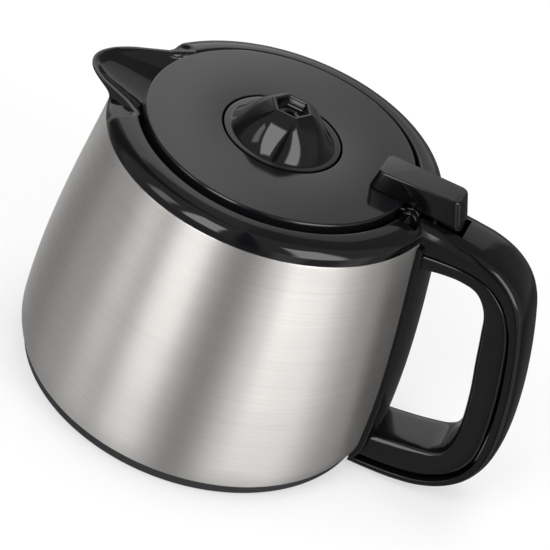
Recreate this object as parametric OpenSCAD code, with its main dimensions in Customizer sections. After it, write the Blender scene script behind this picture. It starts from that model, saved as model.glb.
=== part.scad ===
// Thermal carafe with a flip lid and a brew-through cone.
// Z points up from the table, the handle lies along +X and the spout along -X.
// The origin is on the table, on the flask's own axis.

/* [Steel body] */
// Height of the steel shell's top edge above the table
shell_top_z = 112; // [104:1:130]
// Outer radius of the steel shell at its top edge
shell_top_r = 65.9; // [65:0.1:68]
// Outer radius of the steel shell where it is widest
shell_wide_r = 75.8; // [72:0.1:80]
// Radius of the rounded lower corner of the shell
shell_foot_round = 22; // [18:1:30]
// Thickness of the steel sheet
steel = 0.8; // [0.6:0.1:1]
// Gap between the two walls, where the vacuum is
vacuum_gap = 3.6; // [2.5:0.1:5]
// Height of the flask's floor above the table
flask_floor_z = 14; // [12:0.5:20]

/* [Base] */
// Height of the plastic base cup
base_h = 6.3; // [5:0.1:9]
// Outer radius of the base cup at the table
base_foot_r = 71.9; // [68:0.1:73]
// Wall and floor thickness of the base cup
base_wall = 2; // [1.5:0.1:3]
// Outer radius of the rubber foot
pad_r = 67; // [60:1:69]
// Thickness of the rubber foot
pad_t = 1.6; // [1.2:0.1:2]

/* [Mouth and collar] */
// Inner radius of the flask's mouth
mouth_r = 50.2; // [49.8:0.1:51]
// How far the mouth's lip lies below the shell's top edge
lip_drop = 4; // [3.5:0.1:5]
// Thickness of the silicone ring on the lip
neck_gasket_t = 0.8; // [0.6:0.1:1.2]
// Wall thickness of the collar's neck
neck_wall = 1.5; // [1.2:0.1:1.7]
// Length of the collar's neck below the lip
neck_len = 7; // [5:0.5:9]
// Thickness of the collar's pouring ledge
ledge_t = 1.6; // [1.2:0.1:2]
// Radius of the collar's inner wall, round the lid
collar_in_r = 55.2; // [54.8:0.1:56]
// Height of the collar's rim above the shell's top edge
collar_rise = 7.2; // [6.5:0.1:8]

/* [Spout] */
// Reach of the spout's tip from the flask's axis
spout_reach = 79; // [76:0.5:84]
// Half width of the spout where it leaves the collar
spout_half_w = 27; // [22:0.5:28]
// Thickness of the spout's rim
spout_rim = 2.1; // [1.6:0.1:3]
// How far the spout's tip lies below the collar's rim
spout_dip = 2.6; // [1:0.1:4]
// How much the pouring floor climbs from the ledge to the tip
spout_climb = 3.8; // [3.4:0.1:5]

/* [Lid] */
// Outer radius of the lid
lid_r = 53; // [52:0.1:54]
// How far the lid stands above the collar's rim
lid_proud = 1.8; // [1:0.1:3]
// Thickness of the lid's top plate
lid_t = 2.4; // [2:0.1:3]
// Depth of the lid's outer skirt, from its top
lid_skirt = 8; // [6:0.1:8.5]
// Clearance of the plug in the collar's neck
plug_gap = 1.7; // [1.5:0.1:2]
// Wall thickness of the plug
plug_wall = 1.8; // [1.5:0.1:2.2]
// Thickness of the round gasket, past the plug's wall
gasket_out = 0.9; // [0.7:0.1:1]
// Height of the round gasket
gasket_h = 2.4; // [2:0.1:3]
// Depth of the plug below the lid's top
plug_depth = 19; // [18:0.5:20]

/* [Brew cone] */
// Radius of the hole in the lid's middle
cone_hole_r = 23.6; // [22:0.1:26]
// Gap between the cone's flange and the hole
cone_gap = 0.8; // [0.5:0.1:1]
// Height of the cone above the lid
cone_h = 13; // [10:0.5:16]
// Corner radius of the cone's six-sided top
cone_top_r = 7.8; // [7:0.1:8.4]
// Width of the rim round the cone's six-sided socket
socket_rim = 1.2; // [1:0.1:1.6]
// Depth of the six-sided socket
socket_depth = 3.8; // [2.5:0.1:4.2]
// Radius of the hole that the coffee runs through
drip_r = 1.9; // [1.5:0.1:2]
// Travel of the cone when the machine presses it
cone_travel = 4; // [3:0.5:4.5]

/* [Valve] */
// Outer radius of the hollow stem
stem_r = 4.6; // [4.2:0.1:5]
// Bore radius of the hollow stem
stem_bore = 3; // [2.4:0.1:3.2]
// Radial clearance of the stem in its guide
stem_gap = 0.06; // [0.03:0.01:0.09]
// Radius of the valve's disc
disc_r = 11; // [9:0.5:13]
// Wire diameter of the return spring
spring_wire = 1; // [0.8:0.1:1.2]
// Mean radius of the return spring
spring_r = 9; // [8.8:0.1:10]
// Turns of the return spring
spring_turns = 5; // [4:0.5:6]

/* [Thumb lever and hinge] */
// Distance of the hinge pin from the flask's axis
hinge_x = 57; // [56.8:0.1:57.6]
// Angle to which the lid opens
lid_opening = 36; // [28:1:38]
// How far the pin lies below the lid's top
hinge_drop = 4; // [3.8:0.1:4.2]
// Radius of the hinge pin
pin_r = 1.25; // [1:0.05:1.4]
// Running clearance round the pin
pin_gap = 0.05; // [0.02:0.01:0.09]
// Wall thickness of the hinge knuckle round the pin
knuckle_wall = 2.1; // [1.8:0.1:2.2]
// Half width of the thumb lever at its front
lever_half_w = 7.2; // [6.8:0.1:7.4]
// Half width of the thumb lever at its rear
lever_rear_half_w = 6; // [5.6:0.1:6.4]
// Distance of the lever's front end from the axis
lever_front_x = 38; // [34:0.5:42]
// Distance of the lever's rear end from the axis
lever_rear_x = 76.8; // [74:0.1:77]
// Slope of the lever's front and rear ends, as a run in plan
lever_slant = 1.6; // [0.8:0.1:2]
// Height of the lever above the lid, at its front
lever_h = 8.2; // [6:0.1:9]
// Extra height of the lever at its rear
lever_climb = 1.6; // [0:0.1:2]
// Side clearance of the lever in the handle's slot
slot_gap = 0.4; // [0.3:0.05:0.6]

/* [Handle] */
// Half width of the handle's outer shell
grip_half_w = 12.5; // [12:0.1:14]
// How much narrower the inner shell is, on each side
shell_step = 0.5; // [0.3:0.1:1]
// How far the whole grip is moved out from the body
grip_shift = 0; // [0:0.5:8]
// Thickness of the strap that lies on the steel body
strap_t = 2.4; // [2:0.1:3]
// Half width of the strap, in degrees round the body
strap_half_deg = 12.4; // [10:0.1:14]
// Wall thickness of the bracket that the handle is screwed to
bracket_wall = 3; // [2.5:0.1:3.2]
// Thickness of the bracket's floor under the lever's slot
bracket_floor = 1.5; // [1.2:0.1:1.8]
// Radius of the screws' heads
head_r = 2.6; // [2.2:0.1:2.8]
// Radius of the screws' shanks
shank_r = 1.4; // [1.2:0.1:1.5]

/* [Hidden] */
$fn = 96;

slack = 0.1;                                    // assembly clearance between fixed pieces
eps = 0.01;
lift = 0.4;                                     // the base cup's own height above the table

// Heights that the pieces share
lip_z = shell_top_z - lip_drop;                 // top of the shell's flat shoulder
flange_z = lip_z + steel;                       // top of the flask's rolled flange
ledge_under_z = flange_z + neck_gasket_t;
ledge_z = ledge_under_z + ledge_t;              // the collar's pouring ledge
rim_z = shell_top_z + collar_rise;              // the collar's rim
lid_z = rim_z + lid_proud;                      // the lid's top face
plug_z = lid_z - plug_depth;                    // the plug's underside
plug_floor_z = plug_z + plug_wall;
plate_z = lid_z - lid_t;                        // underside of the lid's top plate

// Radii that the pieces share
neck_out_r = mouth_r - 0.2;
neck_in_r = neck_out_r - neck_wall;
flange_r = mouth_r + 6;
plug_r = neck_in_r - plug_gap + 0.2;
cone_r = cone_hole_r - cone_gap;
guide_r = stem_r + 2.6;
hub_r = stem_r + 2;
knuckle_r = pin_r + knuckle_wall;
hinge_z = lid_z - hinge_drop;
function lever_w(x) =                           // the lever's half width along its length
    mix(lever_half_w, lever_rear_half_w, (x - lever_front_x) / (lever_rear_x - lever_front_x));
slot_half_w = lever_w(collar_in_r - 2) + slot_gap;
bracket_half_w = slot_half_w + bracket_wall;

function mix(a, b, t) = a + (b - a) * t;
function clip(t) = min(1, max(0, t));

// ---- the steel shell's outline, a wide crown above a rounded foot ----
wide_z = base_h + 10.2;
function crown(t) = pow(sin(90 * clip(t)), 1.1);
function shell_r(z) =
    z >= wide_z
        ? mix(shell_top_r, shell_wide_r, crown((shell_top_z - z) / (shell_top_z - wide_z)))
        : shell_wide_r - shell_foot_round
          + sqrt(pow(shell_foot_round, 2) - pow(wide_z - z, 2));
shell_steps = 26;
shell_zs = [for (i = [0:shell_steps]) mix(base_h, shell_top_z, i / shell_steps)];
function shell_line(inset, from_z, to_z) =
    [for (i = [0:shell_steps]) let (z = mix(from_z, to_z, i / shell_steps)) [shell_r(z) - inset, z]];
function reversed(list) = [for (i = [len(list) - 1:-1:0]) list[i]];

// Everything inside the body's outline, grown by a gap; what is fixed outside is cut back by it.
module body_envelope(gap) {
    rotate_extrude($fn = 144)
        polygon(concat([[0, -1], [base_foot_r + 1 + gap, -1]], shell_line(-gap, base_h, shell_top_z + gap),
                       [[0, shell_top_z + gap]]));
}

module ring(r_in, r_out, z, h) {
    translate([0, 0, z])
        difference() {
            cylinder(r = r_out, h = h);
            translate([0, 0, -1]) cylinder(r = r_in, h = h + 2);
        }
}

// ---- lofts: a solid through rings of the same number of points ----
function flat(lists) = [for (l = lists, p = l) p];
module loft(rings) {
    n = len(rings[0]);
    last = len(rings) - 1;
    sides = [for (i = [0:last - 1], j = [0:n - 1])
        let (a = i * n + j, b = i * n + (j + 1) % n) each [[a, b, b + n], [a, b + n, a + n]]];
    caps = [[for (j = [n - 1:-1:0]) j], [for (j = [0:n - 1]) last * n + j]];
    polyhedron(points = flat(rings), faces = concat(sides, caps), convexity = 6);
}
// The same between arches, whose sloping ends are closed by flat strips from side to side
module arch_loft(rings) {
    n = len(rings[0]);
    half = (n - 1) / 2;
    last = (len(rings) - 1) * n;
    sides = [for (i = [0:len(rings) - 2], j = [0:n - 1])
        let (a = i * n + j, b = i * n + (j + 1) % n) each [[b, a, b + n], [b + n, a, a + n]]];
    low = [for (j = [0:half - 2]) [j, j + 1, n - 2 - j, n - 1 - j]];
    high = [for (j = [0:half - 2]) [last + n - 1 - j, last + n - 2 - j, last + j + 1, last + j]];
    tips = [[half - 1, half, half + 1], [last + half + 1, last + half, last + half - 1]];
    polyhedron(points = flat(rings), faces = concat(sides, low, high, tips), convexity = 6);
}
function smooth_step(a, b, c, d, t) =
    0.5 * (2 * b + (c - a) * t + (2 * a - 5 * b + 4 * c - d) * t * t
           + (3 * b - a - 3 * c + d) * t * t * t);
// A smooth line of stations through the given ones, with some steps between each pair
function stations(list, steps) =
    let (last = len(list) - 1)
    concat([for (i = [0:last - 1], k = [0:steps - 1])
                smooth_step(list[max(i - 1, 0)], list[i], list[i + 1], list[min(i + 2, last)], k / steps)],
           [list[last]]);
function signed_pow(v, e) = sign(v) * pow(abs(v), e);

// ---- steel body ----
module outer_shell() {
    color("silver")
        rotate_extrude($fn = 144)
            polygon(concat(shell_line(0, base_h, shell_top_z),
                           reversed(shell_line(steel, base_h, shell_top_z))));
}

// The dished ring that joins the shell's top edge to the flask's neck
module neck_ring() {
    in_r = mouth_r + steel + slack / 2;
    out_r = shell_top_r - steel - slack / 2;
    color("darkgray")
        rotate_extrude($fn = 144)
            polygon([[in_r, lip_z - steel], [flange_r + 1, lip_z - steel], [out_r, shell_top_z - steel - 0.4],
                     [out_r, shell_top_z - 0.3], [flange_r + 1, lip_z], [in_r, lip_z]]);
}

// The flask follows the shell's outline inside the vacuum gap. It is drawn in three parts.
flask_out = steel + vacuum_gap;                 // from the shell's outside to the flask's outside
flask_in = flask_out + steel;
flask_neck_z = lip_z - 4;                       // where the neck starts to widen
flask_shoulder_z = flask_neck_z - 8;
flask_corner = 5;                               // radius of the flask's lower corner
flask_low_z = flask_floor_z + flask_corner;
module inner_flask() {
    color("lightgray")
        rotate_extrude($fn = 144)
            polygon(concat(shell_line(flask_out, flask_low_z, flask_shoulder_z),
                           reversed(shell_line(flask_in, flask_low_z, flask_shoulder_z))));
}
module flask_neck() {
    top_r = shell_r(flask_shoulder_z);
    color("lightgray")
        rotate_extrude($fn = 144)
            polygon([[top_r - flask_out, flask_shoulder_z], [mouth_r + steel, flask_neck_z],
                     [mouth_r + steel, lip_z], [flange_r, lip_z], [flange_r, flange_z], [mouth_r, flange_z],
                     [mouth_r, flask_neck_z - steel / 2], [top_r - flask_in, flask_shoulder_z]]);
}
function corner_line(x, r) = [for (a = [-90:15:0]) [x + r * cos(a), flask_low_z + r * sin(a)]];
module flask_floor() {
    out_r = shell_r(flask_low_z) - flask_out;
    corner_x = out_r - flask_corner - steel;
    color("lightgray")
        rotate_extrude($fn = 144)
            polygon(concat(
                [[0, flask_floor_z - steel]],
                corner_line(corner_x, flask_corner + steel), reversed(corner_line(corner_x, flask_corner)),
                [[0, flask_floor_z]]));
}

// The steel disc that closes the vacuum, with its raised middle
module shell_bottom() {
    edge_r = shell_r(base_h) - steel - slack;
    dish_r = edge_r - 22;
    dish = 2.2;
    color("darkgray")
        rotate_extrude()
            polygon([[0, base_h + dish], [dish_r, base_h + dish], [dish_r + dish, base_h],
                     [edge_r, base_h], [edge_r, base_h + steel], [dish_r + dish, base_h + steel],
                     [dish_r, base_h + dish + steel], [0, base_h + dish + steel]]);
}

// ---- base ----
tongue_half_w = 7;
tongue_x = shell_wide_r + 8.5;                  // outer end of the tongue under the handle
tongue_z = 3;
tongue_t = 3;
lower_screw_x = shell_wide_r + 4;
module base_cup() {
    top_r = shell_r(base_h);
    inner_r = base_foot_r - base_wall - 1;
    color("#232326")
        difference() {
            union() {
                rotate_extrude()
                    polygon([[0, pad_t], [pad_r + slack, pad_t], [pad_r + slack, lift],
                             [base_foot_r - 1.4, lift], [base_foot_r - 0.4, lift + 0.6],
                             [base_foot_r + 0.2, lift + 1.8], [top_r - 0.2, base_h - 0.6], [top_r, base_h],
                             [inner_r, base_h], [inner_r, pad_t + base_wall], [0, pad_t + base_wall]]);
                translate([inner_r, -tongue_half_w, tongue_z])
                    cube([tongue_x - inner_r, 2 * tongue_half_w, tongue_t]);
            }
            translate([lower_screw_x, 0, tongue_z - 1])
                cylinder(r = shank_r + slack, h = tongue_t + 2, $fn = 32);
        }
}

module base_pad() {
    color("#101010") cylinder(r = pad_r, h = pad_t);
}

// ---- mouth, collar and spout ----
module neck_gasket() {
    color("whitesmoke") ring(mouth_r + 0.6, flange_r - 0.6, flange_z, neck_gasket_t);
}

// Half outline of the spout, a pointed arch in plan, as rings of points at one level.
// back is where it starts, reach its tip, half_w its half width at the back.
spout_fan = 14;
spout_bend = 2 / 1.45;
function arch(back, reach, half_w) =
    [for (i = [0:spout_fan]) let (a = mix(90, -90, i / spout_fan))
        [-(back + (reach - back) * pow(max(cos(a), 0), spout_bend)),
         half_w * signed_pow(sin(a), spout_bend)]];
spout_back = collar_in_r * cos(asin(spout_half_w / collar_in_r)) - 1;
function spout_top(x) = rim_z - spout_dip * clip((-x - spout_back) / (spout_reach - spout_back));
function spout_floor(x) =
    ledge_z + spout_climb * pow(clip((-x - collar_in_r + 2) / (spout_reach - collar_in_r - 5)), 1.2);
spout_levels = [0, 0.25, 0.5, 0.75, 0.93, 1];
module spout_body() {
    low_z = shell_top_z + slack;
    low_reach = shell_top_r - 0.6;
    arch_loft([for (s = spout_levels)
        let (out = arch(spout_back, mix(low_reach, spout_reach, pow(s, 0.75)) - (s == 1 ? 0.5 : 0),
                        mix(spout_half_w * 0.5, spout_half_w, pow(s, 0.6)) - (s == 1 ? 0.4 : 0)))
        [for (p = out) [p[0], p[1], mix(low_z, spout_top(p[0]), s)]]]);
}
module spout_channel() {
    back = neck_in_r - 8;
    arch_loft([for (s = [0, 0.12, 0.4, 0.7, 1])
        let (grow = pow(s, 0.5),
             out = arch(back, mix(spout_reach - 8, spout_reach - spout_rim, grow),
                        mix(spout_half_w * 0.78, spout_half_w - spout_rim + 3, grow)))
        [for (p = out) [p[0], p[1], mix(spout_floor(p[0]) + 0.02, spout_top(p[0]) + 2, s)]]]);
}

collar_round = 9;                               // steps of the collar's bulge
rim_w = 1.4;
function bulge_line(gap) = [for (i = [0:collar_round]) let (a = 90 * i / collar_round)
    [mix(collar_in_r + rim_w, shell_top_r, sin(a)) + gap * sin(a),
     mix(shell_top_z + 0.6, rim_z, pow(cos(a), 0.8)) + gap]];
module collar_ring() {
    rotate_extrude($fn = 144)
        polygon(concat(
            [[collar_in_r, rim_z - 0.9], [collar_in_r + 0.9, rim_z]],
            bulge_line(0),
            [[shell_top_r, shell_top_z + slack / 2], [shell_top_r - steel - slack, shell_top_z + slack / 2],
             [flange_r + 1, lip_z + 0.3], [flange_r + 0.3, lip_z + 0.3], [flange_r + 0.3, ledge_under_z],
             [neck_out_r, ledge_under_z], [neck_out_r, ledge_under_z - neck_len],
             [neck_in_r + 0.4, ledge_under_z - neck_len], [neck_in_r, ledge_under_z - neck_len + 0.6],
             [neck_in_r, ledge_z - 0.4], [neck_in_r + 0.4, ledge_z], [collar_in_r, ledge_z]]));
}

// The lever's rear end, seen from the hinge pin: its lower and its upper corner
lever_under = 1.9;
lever_edge = 1.2;                               // bevel along the lever's top edge
rear_low = [lever_rear_x - hinge_x, lever_under];
rear_top = [lever_rear_x - 2 * lever_slant - hinge_x, hinge_drop + lever_h + lever_climb - lever_edge];
function opened(p) = [hinge_x + p[0] * cos(lid_opening) + p[1] * sin(lid_opening),
                      hinge_z - p[0] * sin(lid_opening) + p[1] * cos(lid_opening)];

// The slot leaves room for the knuckle, and for the lever's rear as it sinks while the lid opens.
slot_room = 0.4;
slot_low = opened(rear_low + [slot_room, -slot_room - 0.1]);
slot_end_r = norm(rear_top) + slot_room;        // the lever's rear turns inside this radius
slot_end_x = hinge_x + slot_end_r;
slot_turn = asin((hinge_z - slot_low[1]) / slot_end_r);
slot_step_z = hinge_z - knuckle_r - 0.35;
module slot_profile() {
    polygon(concat(
        [[hinge_x - 12, slot_step_z], [hinge_x + 4.6, slot_step_z], slot_low],
        [for (i = [6:-1:0]) let (a = slot_turn * i / 6)
            [hinge_x + slot_end_r * cos(a), hinge_z - slot_end_r * sin(a)]],
        [[slot_end_x, lid_z + 4], [hinge_x - 12, lid_z + 4]]));
}

// The hinge lugs stand at both sides of the lever and run on into the bracket's cheeks.
lug_r = knuckle_r + 0.1;
lug_pocket = 5;                                 // width of the hollow beside each lug
bracket_end_x = slot_end_x + 9;
bracket_top_z = shell_top_z + 4.2;
bracket_under_z = slot_low[1] - bracket_floor;
bracket_rear_z = hinge_z - 10;                  // underside behind the slot, where the screws go in
handle_front_x = hinge_x + lug_r + 0.7;
module bracket_profile(gap) {
    polygon([[hinge_x - lug_r, shell_top_z + 1], [hinge_x - lug_r, rim_z - 2.5], [hinge_x, rim_z - 1.4],
             [hinge_x + 5, bracket_top_z + gap], [bracket_end_x - 5, bracket_top_z - 1 + gap],
             [bracket_end_x + gap, bracket_top_z - 4], [bracket_end_x + gap, bracket_rear_z - gap],
             [slot_end_x, bracket_rear_z - gap], [slot_low[0] + 2.5, bracket_under_z - gap],
             [shell_top_r + 0.5, bracket_under_z - gap], [shell_top_r + 0.5, shell_top_z + 1]]);
}
module along_y(half_w) {
    translate([0, half_w, 0]) rotate([90, 0, 0]) linear_extrude(2 * half_w) children();
}
// A long round bar on the hinge pin's axis, for bores and hollows
module round_the_pin(r) {
    translate([hinge_x, 20, hinge_z]) rotate([90, 0, 0]) cylinder(r = r, h = 40, $fn = 48);
}
screw_xs = [slot_end_x + 4.5];
screw_ys = [-5, 5];
module collar() {
    color("#18181a")
        difference() {
            union() {
                difference() {
                    union() {
                        collar_ring();
                        difference() {
                            spout_body();
                            cylinder(r = collar_in_r + 0.6, h = 200);
                        }
                    }
                    spout_channel();
                    for (side = [-1, 1])
                        translate([hinge_x, side * (bracket_half_w + lug_pocket / 2) + lug_pocket / 2,
                                   hinge_z])
                            rotate([90, 0, 0]) cylinder(r = lug_r + 1.1, h = lug_pocket, $fn = 48);
                }
                difference() {
                    union() {
                        along_y(bracket_half_w) bracket_profile(0);
                        for (side = [-1, 1])
                            translate([hinge_x, side * (slot_half_w + bracket_wall / 2) + bracket_wall / 2,
                                       hinge_z])
                                rotate([90, 0, 0]) cylinder(r = lug_r, h = bracket_wall, $fn = 48);
                    }
                    body_envelope(slack);
                    cylinder(r = lid_r + 0.5, h = 200);
                }
            }
            along_y(slot_half_w) slot_profile();
            round_the_pin(pin_r);
            for (x = screw_xs, y = screw_ys)
                translate([x, y, bracket_rear_z - 1]) cylinder(r = shank_r - 0.2, h = 8, $fn = 32);
        }
}

// ---- handle ----
// Each station holds the outer edge, the inner edge and how square the outer side is.
// The outer shell runs from the hinge over the top and down the back of the grip.
function moved(list) = [for (s = list)
    let (k = clip((s[0] - shell_wide_r) / 30) * grip_shift) [s[0] + k, s[1], s[2] + k, s[3], s[4]]];
dz = shell_top_z - 112;                         // the handle follows the shell's height
function raised(list) = [for (s = list)
    [s[0], s[1] + dz * clip(s[1] / 112), s[2], s[3] + dz * clip(s[3] / 112), s[4]]];
outer_stations = raised(moved([
    [handle_front_x, 119.5, handle_front_x, 106.4, 2.6], [66, 119.2, 66, 107.2, 2.6],
    [72, 118.9, 72, 108.4, 2.6], [80, 118.4, 80, 109, 2.5], [89, 117.4, 88, 108.9, 2.5],
    [98, 114.6, 95.6, 106.8, 2.4],
    [106, 109, 101.4, 102.8, 2.4], [111.6, 101, 105.8, 96.8, 2.4], [115.4, 90, 109.8, 88.6, 2.4],
    [119, 76.5, 113.5, 75, 2.4], [122, 62, 116.4, 60, 2.4], [124, 47, 118.2, 45, 2.4],
    [124.3, 36, 118.6, 35.4, 2.4], [122.7, 26.5, 117.8, 27.6, 2.4], [118.2, 17.4, 114.4, 19.8, 2.4],
    [110.8, 10.2, 108.4, 13.4, 2.4], [101, 5.2, 100.2, 8.9, 2.6], [90, 2.6, 90.2, 6.4, 2.8],
    [80, 1.6, 80, 5, 3], [70.5, 1, 70.5, 4.3, 3]]));
// The inner shell runs under the top, down the finger side and back to the body's foot.
inner_stations = raised(moved([
    [66, 107, 67, 99.6, 9], [75, 108.2, 76, 101.9, 9], [84, 108.7, 84.4, 102.8, 9],
    [94, 107.2, 91.4, 101, 9], [103.8, 99.6, 96.4, 94, 9], [109.5, 89, 98.8, 84, 9],
    [113.2, 75, 101.2, 72, 9], [116.1, 59.4, 104.2, 58, 9], [117.8, 45, 106.2, 44, 9],
    [118.2, 34.8, 106.2, 34, 9], [117.3, 27.4, 104.6, 27.4, 7], [113.9, 20.1, 100.8, 24.3, 6],
    [108, 13.8, 95.4, 22.8, 5], [99.9, 9.3, 89.6, 21.4, 5], [90, 6.8, 84, 20.2, 5],
    [79.8, 5.4, 77.5, 18.9, 5], [70.5, 4.7, 72, 18.2, 5]]));
grip_sides = 24;
function grip_ring(s, half_w, inner_square) =
    let (c = [(s[0] + s[2]) / 2, (s[1] + s[3]) / 2], h = [(s[0] - s[2]) / 2, (s[1] - s[3]) / 2])
    [for (i = [0:grip_sides - 1]) let (a = 360 * i / grip_sides, k = 2 / (cos(a) >= 0 ? s[4] : inner_square),
        u = signed_pow(cos(a), k), v = signed_pow(sin(a), k))
        [c[0] + h[0] * u, half_w * v, c[1] + h[1] * u]];
module handle_loft(list, half_w, inner_square, steps) {
    loft([for (s = stations(list, steps)) grip_ring(s, half_w, inner_square)]);
}
module handle_outer() {
    color("#161618")
        difference() {
            handle_loft(outer_stations, grip_half_w, 16, 3);
            along_y(bracket_half_w + slack) bracket_profile(slack);
            along_y(slot_half_w) slot_profile();
            body_envelope(slack);
            // room for the collar's bulge and the hinge lugs
            rotate_extrude($fn = 144)
                polygon(concat([[0, shell_top_z], [0, rim_z + slack]], bulge_line(slack),
                               [[shell_top_r + slack, shell_top_z]]));
            round_the_pin(lug_r + 0.4);
            tongue_room();
        }
}
// What the base cup's tongue and its screw need in the handle's lower end
module tongue_room() {
    translate([0, -tongue_half_w - slack, -1])
        cube([tongue_x + slack, 2 * (tongue_half_w + slack), tongue_z + tongue_t + 1 + slack]);
}
module strap() {
    low_z = base_h + 1;
    high_z = shell_top_z - 1.5;
    difference() {
        rotate([0, 0, -strap_half_deg])
            rotate_extrude(angle = 2 * strap_half_deg, $fn = 144)
                polygon(concat(shell_line(-slack / 2, low_z, high_z),
                               reversed(shell_line(-strap_t, low_z, high_z))));
        // the handle's outer shell stands here
        translate([0, -grip_half_w - slack, shell_top_z - 5.9]) cube([100, 2 * (grip_half_w + slack), 10]);
    }
}
module handle_inner() {
    color("#2a2a2e")
        difference() {
            union() {
                handle_loft(inner_stations, grip_half_w - shell_step, 5, 3);
                strap();
            }
            body_envelope(slack / 2);
            along_y(bracket_half_w + slack) bracket_profile(slack);
            for (x = screw_xs, y = screw_ys)
                translate([x, y, bracket_rear_z - 15.5]) {
                    cylinder(r = shank_r + slack, h = 20, $fn = 32);
                    cylinder(r = head_r + slack, h = 14, $fn = 32);
                }
            tongue_room();
            translate([lower_screw_x, 0, 0]) cylinder(r = shank_r - 0.2, h = tongue_z + 14, $fn = 32);
        }
}

// A pan-head screw: head below, shank up
module screw_up(x, y, z, len, head_h) {
    translate([x, y, z]) {
        cylinder(r = head_r, h = head_h, $fn = 32);
        cylinder(r = shank_r - 0.2, h = head_h + len, $fn = 32);
    }
}
screw_head = 1.4;
module handle_screws() {
    color("gainsboro")
        for (x = screw_xs, y = screw_ys) screw_up(x, y, bracket_rear_z - 1.5 - screw_head, 8, screw_head);
}
module handle_lower_screw() {
    color("gainsboro") screw_up(lower_screw_x, 0, tongue_z - screw_head, 12, screw_head);
}

module hinge_pin() {
    color("silver")
        translate([hinge_x, bracket_half_w, hinge_z])
            rotate([90, 0, 0]) cylinder(r = pin_r, h = 2 * bracket_half_w, $fn = 48);
}

// ---- lid ----
arm_half_w = slot_half_w - slot_gap - 0.1;
arm_under_z = hinge_z - knuckle_r + 0.9;
module lid_cover() {
    edge = 1.1;
    skirt_t = 2.2;
    lip_t = 1.8;
    color("#1c1c1e")
        difference() {
            union() {
                rotate_extrude($fn = 144)
                    polygon(concat(
                        [[cone_hole_r, lid_z], [lid_r - edge, lid_z]],
                        [for (a = [75:-15:0]) [lid_r - edge + edge * cos(a), lid_z - edge + edge * sin(a)]],
                        [[lid_r, lid_z - lid_skirt], [lid_r - skirt_t, lid_z - lid_skirt],
                         [lid_r - skirt_t, plate_z], [cone_hole_r + lip_t, plate_z],
                         [cone_hole_r + lip_t, plate_z - 3], [cone_hole_r, plate_z - 3]]));
                difference() {
                    translate([0, -arm_half_w, arm_under_z])
                        cube([hinge_x, 2 * arm_half_w, plate_z - arm_under_z]);
                    cylinder(r = lid_r - 1, h = 200);
                }
                translate([hinge_x, arm_half_w, hinge_z])
                    rotate([90, 0, 0]) cylinder(r = knuckle_r, h = 2 * arm_half_w, $fn = 64);
            }
            round_the_pin(pin_r + pin_gap);
            for (y = [-lever_screw_y, lever_screw_y])
                translate([lever_screw_x, y, 0]) cylinder(r = shank_r + slack, h = 200, $fn = 32);
        }
}

lid_screw_r = lid_r - 12;
lid_screw_angles = [45, 135, 225, 315];
gasket_z = plug_z + 5;
boss_r = 3.4;
module lid_base() {
    flange_h = 2;
    color("#202023")
        difference() {
            union() {
                rotate_extrude($fn = 144)
                    polygon([[guide_r, plug_z], [plug_r - 1, plug_z], [plug_r, plug_z + 1],
                             [plug_r, gasket_z], [plug_r - 0.8, gasket_z], [plug_r - 0.8, gasket_z + gasket_h],
                             [plug_r, gasket_z + gasket_h], [plug_r, plate_z - flange_h],
                             [lid_r - 2.4, plate_z - flange_h], [lid_r - 2.4, plate_z - slack / 2],
                             [plug_r - plug_wall, plate_z - slack / 2], [plug_r - plug_wall, plug_floor_z],
                             [guide_r, plug_floor_z]]);
                ring(stem_r + stem_gap, guide_r + eps, plug_z, 6.5);
                for (a = lid_screw_angles)
                    rotate([0, 0, a]) translate([lid_screw_r, 0, plug_floor_z - eps])
                        cylinder(r = boss_r, h = plate_z - slack / 2 - plug_floor_z, $fn = 32);
            }
            for (a = lid_screw_angles)
                rotate([0, 0, a]) translate([lid_screw_r, 0, plug_z - 1]) {
                    cylinder(r = shank_r + slack, h = 40, $fn = 32);
                    cylinder(r = head_r + slack, h = screw_head + 2.2, $fn = 32);
                }
        }
}
module lid_gasket() {
    color("whitesmoke") ring(plug_r - 0.8, plug_r + gasket_out, gasket_z + slack / 2, gasket_h - slack);
}
module lid_screws() {
    color("gainsboro")
        for (a = lid_screw_angles)
            rotate([0, 0, a])
                screw_up(lid_screw_r, 0, plug_z + 1.2, plate_z - plug_z - 1.2 - screw_head - slack,
                         screw_head);
}

// ---- thumb lever ----
lever_screw_x = lever_front_x + head_r + 1.4;
lever_screw_y = lever_half_w - head_r - 1.1;
module lever_profile() {
    front_z = lid_z + lever_h;
    rear_z = front_z + lever_climb;
    under_z = hinge_z + lever_under;
    tip_x = hinge_x + rear_top[0];
    polygon([[lever_front_x, lid_z + slack / 2], [lever_front_x + lever_slant - 0.2, front_z - lever_edge],
             [lever_front_x + lever_slant + 0.8, front_z], [tip_x - lever_edge, rear_z],
             [tip_x, rear_z - lever_edge], [lever_rear_x - 0.1, under_z + lever_edge],
             [lever_rear_x - lever_edge, under_z], [lid_r + 0.4, under_z], [lid_r + 0.4, lid_z + slack / 2]]);
}
// Plan outline of the lever, with rounded corners
module lever_plan(round) {
    front = lever_front_x + round;
    rear = lever_rear_x - round;
    offset(r = round, $fn = 32)
        polygon([[front, round - lever_half_w], [rear, round - lever_rear_half_w],
                 [rear, lever_rear_half_w - round], [front, lever_half_w - round]]);
}
module thumb_lever() {
    color("#141416")
        difference() {
            intersection() {
                along_y(lever_half_w + 1) lever_profile();
                linear_extrude(lid_z + 30) lever_plan(3);
            }
            round_the_pin(knuckle_r + slack);
            for (y = [-lever_screw_y, lever_screw_y])
                translate([lever_screw_x, y, lid_z - 1])
                    cylinder(r = shank_r - 0.2, h = lever_h - 1, $fn = 32);
        }
}
module lever_screws() {
    color("gainsboro")
        for (y = [-lever_screw_y, lever_screw_y])
            screw_up(lever_screw_x, y, plate_z - screw_head - slack / 2, lid_t + 4.5, screw_head);
}

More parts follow.
